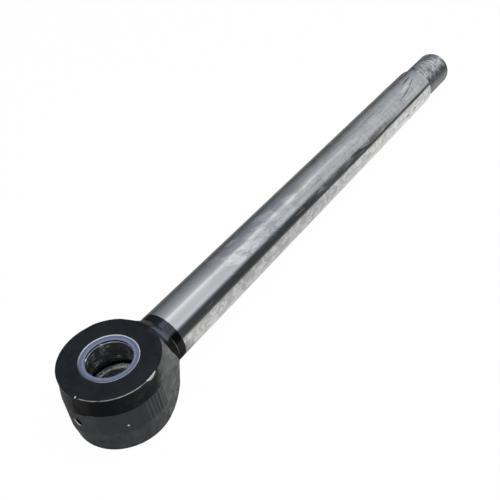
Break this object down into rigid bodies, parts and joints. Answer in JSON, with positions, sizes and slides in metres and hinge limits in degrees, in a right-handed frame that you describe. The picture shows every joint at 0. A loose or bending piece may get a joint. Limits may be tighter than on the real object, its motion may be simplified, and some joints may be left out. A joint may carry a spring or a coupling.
{
  "type": "chrome piston rod",
  "caption": "Hydraulic cylinder rod: long chromed round bar with a threaded spigot, joined to a black-painted forged eye whose pin bore has steel bushes and violet dust seals.",
  "frame": {"origin": "centre of the pin bore, halfway through the eye", "axes": "+Z along the pin bore, +X along the bar towards its threaded end"},
  "size_m": [1.1105, 0.142, 0.103],
  "materials": {
    "chrome_plate": "polished hard chrome with oil film and handling marks",
    "black_paint": "semi-gloss black paint over machined and forged steel",
    "bush_steel": "greased turned steel",
    "seal_polyurethane": "satin violet-blue polyurethane"
  },
  "bodies": {
    "root": {"rod_bar": "chrome_plate", "rod_eye": "black_paint", "upper_bush": "bush_steel", "lower_bush": "bush_steel", "upper_dust_seal": "seal_polyurethane", "lower_dust_seal": "seal_polyurethane"}
  },
  "joints": []
}
